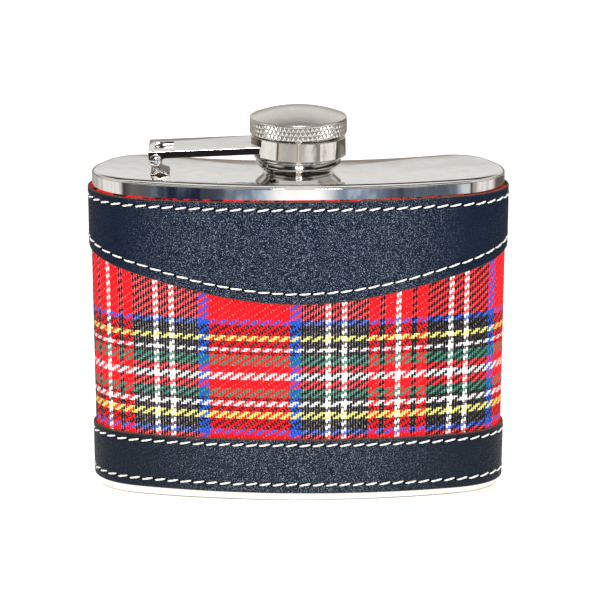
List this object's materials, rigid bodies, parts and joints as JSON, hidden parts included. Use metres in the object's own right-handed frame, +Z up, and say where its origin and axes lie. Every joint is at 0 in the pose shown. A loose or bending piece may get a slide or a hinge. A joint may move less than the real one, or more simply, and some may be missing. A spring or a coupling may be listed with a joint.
{
  "type": "hip flask",
  "caption": "Curved pocket flask of polished steel in a tartan cloth and stitched leather wrap, with a screw cap held captive by a hinged arm.",
  "frame": {"origin": "centre of the whole part's bounding box, on the plane it stands on", "axes": "+X to the right of the convex front, hinge at -X; +Y from the convex front to the concave back; +Z up through the neck"},
  "size_m": [0.0948, 0.035, 0.0886],
  "materials": {
    "polished_steel": "mirror polished stainless steel",
    "satin_steel": "satin stainless steel",
    "navy_leather": "fine grained, slightly glossy",
    "tartan_cloth": "twill woven wool",
    "white_thread": "waxed thread",
    "gasket": "matt"
  },
  "bodies": {
    "flask": {"body_sleeve": "polished_steel", "shoulder_plate": "polished_steel", "base_pan": "polished_steel", "neck": "polished_steel", "hinge_lug": "polished_steel", "tartan_wrap": "tartan_cloth", "upper_band": "navy_leather", "lower_band": "navy_leather", "thread_top_edge": "white_thread", "thread_flap": "white_thread", "thread_lower_top": "white_thread", "thread_lower_edge": "white_thread"},
    "arm": {"cap_arm": "polished_steel", "cap_collar": "polished_steel", "hinge_pin": "satin_steel"},
    "cap": {"cap_crown": "satin_steel", "cap_sleeve": "satin_steel", "cap_retainer": "satin_steel", "cap_gasket": "gasket"}
  },
  "joints": [
    {"name": "arm_hinge", "type": "hinge", "parent": "flask", "child": "arm", "pos_m": [-0.0316, -0.00326, 0.0777], "axis": [0, -1, 0], "range_deg": [0, 105]},
    {"name": "cap_turn", "type": "hinge", "parent": "arm", "child": "cap", "pos_m": [0, -0.00326, 0.0827], "axis": [0, 0, 1], "continuous": true}
  ]
}
